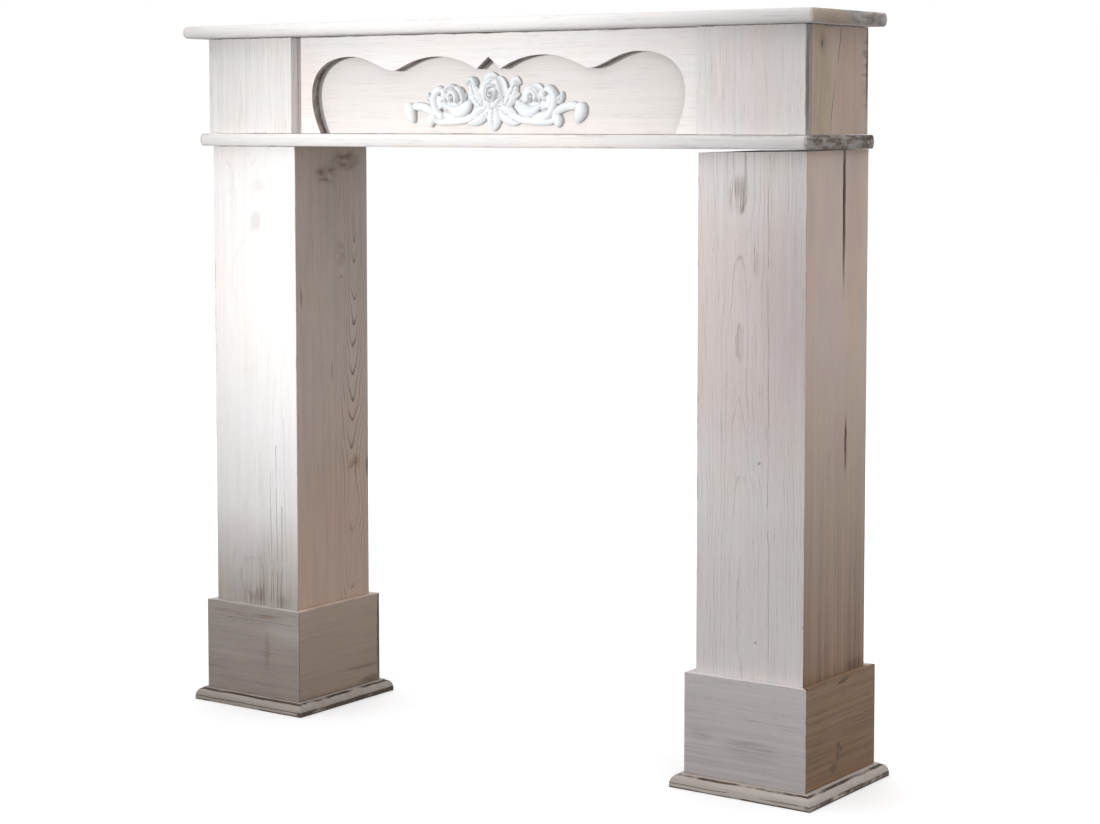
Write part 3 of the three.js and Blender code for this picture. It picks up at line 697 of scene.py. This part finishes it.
# Moulding board: one softwood board with a shallow half-round on its front and its two ends,
# lying across the tops of both legs. Its right end is rubbed down to the wood.
def nosed_board(lo, hi, nose, every=10):
    """A board with a half-round worked on its front and its two ends, mitred at the corners."""
    bm = bmesh.new()
    bmesh.ops.create_cube(bm, matrix=Matrix.LocRotScale((lo + hi) / 2, None, hi - lo))
    slices(bm, 0, every * MM)
    steps = 10
    for i in range(1, steps):
        height = lo.z + (hi.z - lo.z) * (1 - math.cos(math.pi * i / steps)) / 2
        whole = bm.verts[:] + bm.edges[:] + bm.faces[:]
        bmesh.ops.bisect_plane(bm, geom=whole, plane_co=(0, 0, height), plane_no=(0, 0, 1))
    slices(bm, 1, every * MM)
    for vert in bm.verts:
        share = (vert.co.z - lo.z) / (hi.z - lo.z)
        turn = math.acos(max(-1, min(1, 1 - 2 * share)))
        inset = nose * MM * (1 - math.sin(turn))
        if vert.co.y < lo.y + 1e-6:
            vert.co.y += inset
        if abs(abs(vert.co.x) - hi.x) < 1e-6:
            vert.co.x -= math.copysign(inset, vert.co.x)
    return bm


moulding_nose = 3
lo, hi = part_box("moulding_board")
moulding_finish = washed(
    "moulding_wash", (lo, hi), along=0, seed=31, cover=(0.8, 0.8), streaks=0.11, fibres=0.26, worn=0.4,
    worn_width=4, wood=grey_pine,
    marks=[("bare", (507, 0, 835), (5, 110, 20), 0.42), ("flaky", (507, 0, 835), (5, 110, 20), 0.5),
           ("dark", (508, 66, 842), (5, 20, 3), 0.6)],
)
bm = nosed_board(lo, hi, moulding_nose)
rub(bm, 0.3, 31)
fitted("moulding_board_nosed", bm, "moulding_board", "whitewashed_board", moulding_finish)

# Frieze box: end boards, a back panel with its grain level, and an upright-grained block board
# over each leg. The right end is worn and cracked, and the edge of the block board beside it is
# dark where the saw left it.
def sawn_board(lo, hi, cut_along, soft=0.7, every=10):
    """A square-ended board, sliced along the axes that its rubbed arrises run."""
    bm = bmesh.new()
    bmesh.ops.create_cube(bm, matrix=Matrix.LocRotScale((lo + hi) / 2, None, hi - lo))
    round_arrises(bm, bm.edges, soft)
    for axis in cut_along:
        slices(bm, axis, every * MM)
    return bm


# Painted shade: a thin dark line along the tops of the frieze boards, at the joint under the shelf.
shelf_joint_shade = ("dark", (0, 0, 981.7), (560, 120, 1.2), 0.8)
frieze_look = {
    "left_frieze_end": dict(along=2, cover=(0.6, 0.6)),
    "right_frieze_end": dict(
        along=2, cover=(0.86, 0.92), fade=(844, 980), streaks=0.12, fibres=0.3, wood=grey_pine,
        wash=warm_wash, worn=0.6, worn_width=4, flecks=0.4,
        marks=[
            shelf_joint_shade,
            ("dark", (500, 76, 925), (5, 2.5, 50), 0.7),
            ("streaky", (500, -50, 900), (6, 26, 70), 0.2),
            ("flaky", (500, 72, 925), (5, 8, 50), 0.5),
            ("dark", (500, -44, 958), (5, 3, 4.5), 0.5),
            ("bare", (500, -44, 958), (5, 9, 12), 0.2),
            (paint(238, 233, 218), (500, -46, 912), (6, 26, 90), 0.8),
            (paint(246, 230, 224), (500, 28, 905), (6, 44, 80), 0.6),
        ],
        cracks=[(1, (846, -20), (981, 4), 0.9, 0.9)],
    ),
    "left_block_board": dict(
        along=2, cover=(0.82, 0.82), streaks=0.12, fibres=0.34, wood=grey_pine,
        marks=[shelf_joint_shade],
    ),
    "right_block_board": dict(
        along=2, cover=(0.87, 0.87), streaks=0.1, fibres=0.3, wood=grey_pine,
        marks=[
            shelf_joint_shade,
            ("dark", (500, -81, 910), (2, 4.5, 80), 0.6),
            ("bare", (500, -72, 912), (2.5, 8, 100), 0.3),
            (paint(236, 222, 204), (500, -72, 912), (2.5, 8, 100), 0.9),
            ("streaky", (368, -83, 920), (24, 9, 50), 0.12),
            (paint(250, 243, 243), (420, -83, 912), (60, 9, 80), 0.8),
        ],
    ),
    "frieze_back_panel": dict(
        along=0, cover=(0.88, 0.88), streaks=0.08, fibres=0.26, wood=pine,
        wash=(paint(228, 224, 223), paint(225, 221, 218)),
    ),
}
for seed, (node, look) in enumerate(frieze_look.items(), start=40):
    lo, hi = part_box(node)
    bm = sawn_board(lo, hi, (2, 1) if "end" in node else (2, 0))
    rub(bm, 0.3, seed)
    slot = "thin_washed_board" if "end" in node else "whitewashed_board"
    fitted(f"{node}_sawn", bm, node, slot, washed(f"{node}_wash", (lo, hi), seed=seed, **look))

# Fretwork board: one level-grained board between the blocks, its lower edge sawn to a row of lobes
# that meet in a small point over the rose. The sawn edge shows brown wood through the wash, and is
# painted darker towards its back, next to the panel, as shade.
fret_side_margin = 41.5 * MM
fret_top_rail = 29.5 * MM
lo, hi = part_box("fretwork_board")
opening_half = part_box("right_block_board")[0].x - fret_side_margin
lobe_height = hi.z - lo.z - fret_top_rail
cusp = (0.067, 0.815)
point = (0, 0.968)
opening = [
    [(1, 0), (1.02, 0.12), (1.052, 0.3), (1.052, 0.5)],
    [(1.052, 0.5), (1.052, 0.815), (0.963, 1), (0.823, 1)],
    [(0.823, 1), (0.709, 1.018), (0.622, 0.806), (0.552, 0.806)],
    [(0.552, 0.806), (0.522, 0.806), (0.435, 0.99), (0.294, 0.981)],
    [(0.294, 0.981), (0.214, 0.981), (0.134, 0.917), cusp],
]


def opening_edge(hand):
    """The opening's edge from its foot to the cusp beside the middle point."""
    edge = []
    for span in opening:
        knots = [Vector((hand * opening_half * x, lo.y, lo.z + lobe_height * z)) for x, z in span]
        edge += interpolate_bezier(*knots, 15)[:-1]
    return edge + [Vector((hand * opening_half * cusp[0], lo.y, lo.z + lobe_height * cusp[1]))]


bm = bmesh.new()
outline = opening_edge(-1) + [Vector((0, lo.y, lo.z + lobe_height * point[1]))] + opening_edge(1)[::-1]
outline += [Vector((hi.x, lo.y, lo.z)), Vector((hi.x, lo.y, hi.z)), Vector((lo.x, lo.y, hi.z)), lo.copy()]
face = bm.faces.new([bm.verts.new(place) for place in outline])
raised = bmesh.ops.extrude_face_region(bm, geom=[face])["geom"]
moved = [part for part in raised if isinstance(part, bmesh.types.BMVert)]
bmesh.ops.translate(bm, vec=(0, hi.y - lo.y, 0), verts=moved)
bmesh.ops.recalc_face_normals(bm, faces=bm.faces)
faces_of_edge = [face for face in bm.faces if abs(face.normal.y) < 0.5]
for face in faces_of_edge:
    face.material_index = 1
arrises = [edge for edge in bm.edges if edge.calc_face_angle(0) > 0.9]
round_arrises(bm, arrises, 0.6)
rub(bm, 0.2, 50)
# Painted shade: the dark line under the shelf, and a faint pink tint on the face beside the left block,
# standing for the block's soft shadow.
fret_finish = washed(
    "fretwork_wash", (lo, hi), along=0, seed=50, cover=(0.93, 0.93), streaks=0.1, fibres=0.28,
    wood=pine, worn=0.3,
    marks=[shelf_joint_shade, (paint(252, 243, 240), (-320, -68, 900), (34, 9, 60), 0.7)],
)
mix = Finish("sawn_edge_wash_and_shade", 0, 51)
across = mix.sum("ADD", mix.sum("ADD", mix.x, mix.z), mix.sum("MULTIPLY", mix.y, 1.4))
strokes = mix.sum("DIVIDE", mix.sum("ADD", across, mix.sum("MULTIPLY", mix.place_noise(9, 1.0), 5)), 2.1)
groove = mix.sum("ABSOLUTE", mix.sum("SUBTRACT", mix.sum("FRACT", strokes), 0.5))
groove = mix.sum("MULTIPLY", mix.step(groove, 0.5, 0.2), mix.step(mix.place_noise(14, 2.0), 0.35, 0.6))
# Painted shade: the back of the sawn edge, next to the panel, is darkened by showing less wash.
shaded_depth = mix.sum("ADD", mix.y, mix.sum("MULTIPLY", mix.place_noise(12, 3.0), 3))
hides = mix.sum("SUBTRACT", 0.62, mix.sum("MULTIPLY", groove, 0.35))
hides = mix.sum("SUBTRACT", hides, mix.sum("MULTIPLY", mix.step(shaded_depth, -62, -56), 0.34), clamp=True)
colour = mix.blend(hides, paint(84, 70, 62), paint(206, 198, 193))
sawn_finish = mix.surface(colour, 0.85, mix.sum("SUBTRACT", 1, groove), 0.3)
fitted("fretwork_board_sawn", bm, "fretwork_board", "whitewashed_board", fret_finish, sawn_finish)

# Rose applique: a flat-backed casting painted white and glued to the panel. An open rose stands
# over veined leaves, with a bud in a cupped leaf, a hooked leaf and two round-ended bars to each
# side. It is drawn in mm from the middle of its foot, then set to the solid's size and relief.
def round_back(across):
    return 0.3 + 0.7 * math.sqrt(max(0, 1 - across * across))


def veined(across):
    vein = 0.38 * math.exp(-((across / 0.13) ** 2))
    return 0.35 + 0.65 * (1 - abs(across) ** 2.6) - vein


def petal(across):
    """A petal's rim stands up near its outer edge and falls away into the flower."""
    return 0.42 + 0.58 * math.exp(-(((across + 0.55) / 0.5) ** 2))


def leaf_width(share):
    return math.sin(math.pi * share**0.8) ** 0.75


def scroll_width(share):
    return min(1, 3.2 * math.sqrt(share), 2.4 * math.sqrt(1 - share))


def on_route(route, share):
    """The place at a share of the smooth route through some points."""
    spans = len(route) - 1
    i = min(int(share * spans), spans - 1)
    f = share * spans - i
    a, b, c, d = (Vector(route[min(max(k, 0), spans)]) for k in (i - 1, i, i + 1, i + 2))
    return 0.5 * (2 * b + (c - a) * f + (2 * a - 5 * b + 4 * c - d) * f**2 + (3 * b - a - 3 * c + d) * f**3)


def stroke(bm, route, half, high, section=round_back, width=leaf_width, ripple=0.0):
    """One leaf, petal or stem: a ball drawn out along a route, its under side flat."""
    ball = bmesh.ops.create_uvsphere(bm, u_segments=24, v_segments=32, radius=1)["verts"]
    wall = 0.8
    for vert in ball:
        share = math.acos(max(-1, min(1, vert.co.z))) / math.pi
        round_turn = math.atan2(vert.co.y, vert.co.x)
        across = max(-1, min(1, math.cos(round_turn) / wall))
        lift = min(1, max(0, math.sin(round_turn)) / math.sqrt(1 - wall * wall))
        centre = on_route(route, share)
        step = on_route(route, min(1, share + 0.01)) - on_route(route, max(0, share - 0.01))
        step.normalize()
        spread = half * width(share)
        rise = high * math.sqrt(width(share)) * section(across) * lift
        rise *= 1 + ripple * math.sin(2 * math.pi * (7 * share - 1.3 * abs(across)))
        u = centre.x - step.y * across * spread
        v = centre.y + step.x * across * spread
        vert.co = Vector((u, -rise, v))


heart = (0, 51.5)


def arc(radius_u, radius_v, start, end, count=7):
    """Points round the rose's heart between two angles in degrees."""
    turns = [math.radians(start + (end - start) * i / (count - 1)) for i in range(count)]
    return [(heart[0] + radius_u * math.cos(turn), heart[1] + radius_v * math.sin(turn)) for turn in turns]


bm = bmesh.new()
stroke(bm, arc(0.1, 20, 270, 90, 3), 19, 8, width=scroll_width)
for start, end in ((150, 60), (225, 125), (275, 200), (345, 265), (72, -30)):
    stroke(bm, arc(17.5, 21, start, end), 8, 10.5, petal)
for start in (20, 140, 255):
    stroke(bm, arc(10.5, 12, start + 150, start), 5, 13.5, petal)
stroke(bm, arc(5, 5.6, 400, 120, 9), 3, 15.5, petal)
stroke(bm, [(-2, 49), (0, 52), (2.5, 54)], 2.2, 16, round_back)
stroke(bm, [(0, 32), (1, 15), (0, 0)], 12.5, 7.5, veined, ripple=0.04)
for hand in (1, -1):
    spray = [
        # The leaves beside the rose
        (((20, 32), (29, 44), (35, 55), (40, 68)), 10.5, 7.5, veined, leaf_width, 0.04),
        (((30, 60), (38, 67), (47, 62)), 7, 9, petal, leaf_width, 0),
        (((24, 38), (34, 46), (46, 50)), 7, 6.5, veined, leaf_width, 0.04),
        # The low ground behind the bud
        (((50, 36), (70, 42), (96, 44)), 15, 4, round_back, scroll_width, 0),
        (((46, 22), (70, 19), (98, 20)), 7, 4.5, round_back, scroll_width, 0),
        # The bud in its cupped leaf
        (((40, 41), (50, 30), (66, 26), (82, 35)), 9, 8.5, round_back, leaf_width, 0),
        (((54, 38), (60, 52), (70, 59)), 7.5, 9.5, petal, leaf_width, 0),
        (((66, 60), (77, 57), (83, 46), (80, 35)), 6.5, 10, petal, leaf_width, 0),
        (((64, 38), (63, 48), (70, 53), (76, 46), (71, 40)), 4, 12, round_back, scroll_width, 0),
        (((69, 44), (71, 47)), 3, 13, round_back, scroll_width, 0),
        # The hooked leaf and a small leaf outside it
        (
            ((86, 16), (97, 24), (104, 36), (104, 48), (96, 56), (87, 54)),
            6, 8.5, round_back, scroll_width, 0,
        ),
        (((89, 56), (85, 48), (92, 42)), 6, 9, round_back, leaf_width, 0),
        (((93, 30), (96, 40), (94, 48)), 7, 5.5, round_back, scroll_width, 0),
        (((108, 38), (115, 44), (117, 53)), 5.5, 6.5, veined, leaf_width, 0),
        # The upper bar and the lower one, each with its round end
        (((92, 22), (108, 27), (126, 33), (145, 34)), 6, 6.5, round_back, scroll_width, 0),
        (((149, 39), (148, 25), (141, 11)), 9.5, 9, round_back, leaf_width, 0),
        (((24, 25), (44, 17), (66, 14), (90, 13.5), (106, 15)), 5.5, 6, round_back, scroll_width, 0),
        (((100, 19), (110, 15), (110, 5)), 8, 8, round_back, leaf_width, 0),
        # The leaf below the rose
        (((10, 31), (28, 20), (46, 11)), 12.5, 7.5, veined, leaf_width, 0.04),
    ]
    for route, half, high, section, width, ripple in spray:
        stroke(bm, [(hand * u, v) for u, v in route], half, high, section, width, ripple)
bmesh.ops.recalc_face_normals(bm, faces=bm.faces)
bmesh.ops.scale(bm, vec=(MM, MM, MM), verts=bm.verts)
drawing = bpy.data.meshes.new("rose_drawing")
bm.to_mesh(drawing)
bm.free()
casting = bpy.data.objects.new("rose_drawing", drawing)
bpy.context.scene.collection.objects.link(casting)
skin = casting.modifiers.new("skin", "REMESH")
skin.mode = "VOXEL"
skin.voxel_size = 0.75 * MM
soften = casting.modifiers.new("soften", "SMOOTH")
soften.factor = 0.5
soften.iterations = 2
bpy.context.view_layer.update()
cast_mesh = bpy.data.meshes.new_from_object(casting.evaluated_get(bpy.context.evaluated_depsgraph_get()))
bpy.data.objects.remove(casting)
bm = bmesh.new()
bm.from_mesh(cast_mesh)
lo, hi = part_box("rose_applique")
drawn_lo = Vector(map(min, *(vert.co for vert in bm.verts)))
drawn_hi = Vector(map(max, *(vert.co for vert in bm.verts)))
for vert in bm.verts:
    for axis in range(3):
        share = (vert.co[axis] - drawn_lo[axis]) / (drawn_hi[axis] - drawn_lo[axis])
        vert.co[axis] = lo[axis] + (hi[axis] - lo[axis]) * share
bm.normal_update()


def hollowness(vert):
    """How far its neighbours stand above a point of the casting, on average."""
    rises = [(edge.other_vert(vert).co - vert.co).dot(vert.normal) for edge in vert.link_edges]
    return sum(rises) / len(rises)


hollows = [hollowness(vert) for vert in bm.verts]
bm.verts.index_update()
for smoothing in range(2):
    hollows = [
        (hollows[vert.index] + sum(hollows[edge.other_vert(vert).index] for edge in vert.link_edges))
        / (1 + len(vert.link_edges))
        for vert in bm.verts
    ]
mix = Finish("rose_paint", 0, 60)
speckle = mix.grain(3, 3, 1.0, detail=5)
tone = mix.grain(25, 25, 2.0)
colour = mix.blend(mix.step(tone, 0.35, 0.65), paint(219, 223, 226), paint(225, 227, 228))
# Painted shade: the paint greys in the casting's hollows and round its foot, where it meets the panel.
hollow_shade = mix.add("ShaderNodeAttribute", attribute_name="hollow_shade").outputs["Fac"]
foot = mix.sum("MULTIPLY", mix.step(mix.y, -58, -54), 0.45)
colour = mix.blend(mix.sum("MAXIMUM", mix.step(hollow_shade, 0.12, 1.1), foot), colour, paint(168, 168, 170))
rough = mix.add("ShaderNodeMapRange", {"Value": speckle, "To Min": 0.45, "To Max": 0.75}).outputs[0]
rose_finish = mix.surface(colour, rough, speckle, 0.12)
piece = fitted("rose_applique_cast", bm, "rose_applique", "painted_resin", rose_finish)
piece.data.set_sharp_from_angle(angle=math.radians(180))
# The hollowness is kept on the mesh for the painted shade in the creases.
in_hollows = piece.data.attributes.new("hollow_shade", "FLOAT", "POINT")
deep_hollow = 0.06 * MM
in_hollows.data.foreach_set("value", [amount / deep_hollow for amount in hollows])

# Mantelshelf: the thickest-looking board, with a deeper half-round on its front and ends, laid on
# the frieze box. The wash is clean along its front, and rubbed and stained at its right end.
shelf_nose = 5
lo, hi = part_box("mantelshelf")
shelf_finish = washed(
    "mantelshelf_wash", (lo, hi), along=0, seed=70, cover=(0.9, 0.9), streaks=0.11, clouds=0.08, fibres=0.28,
    worn=0.4, worn_width=4, wood=grey_pine,
    marks=[("bare", (525, -10, 991), (6, 104, 20), 0.36),
           (paint(246, 226, 206), (525, -70, 991), (6, 60, 20), 0.9),
           ("flaky", (525, 45, 991), (6, 56, 20), 0.4)],
)
bm = nosed_board(lo, hi, shelf_nose)
rub(bm, 0.3, 70)
fitted("mantelshelf_nosed", bm, "mantelshelf", "whitewashed_board", shelf_finish)
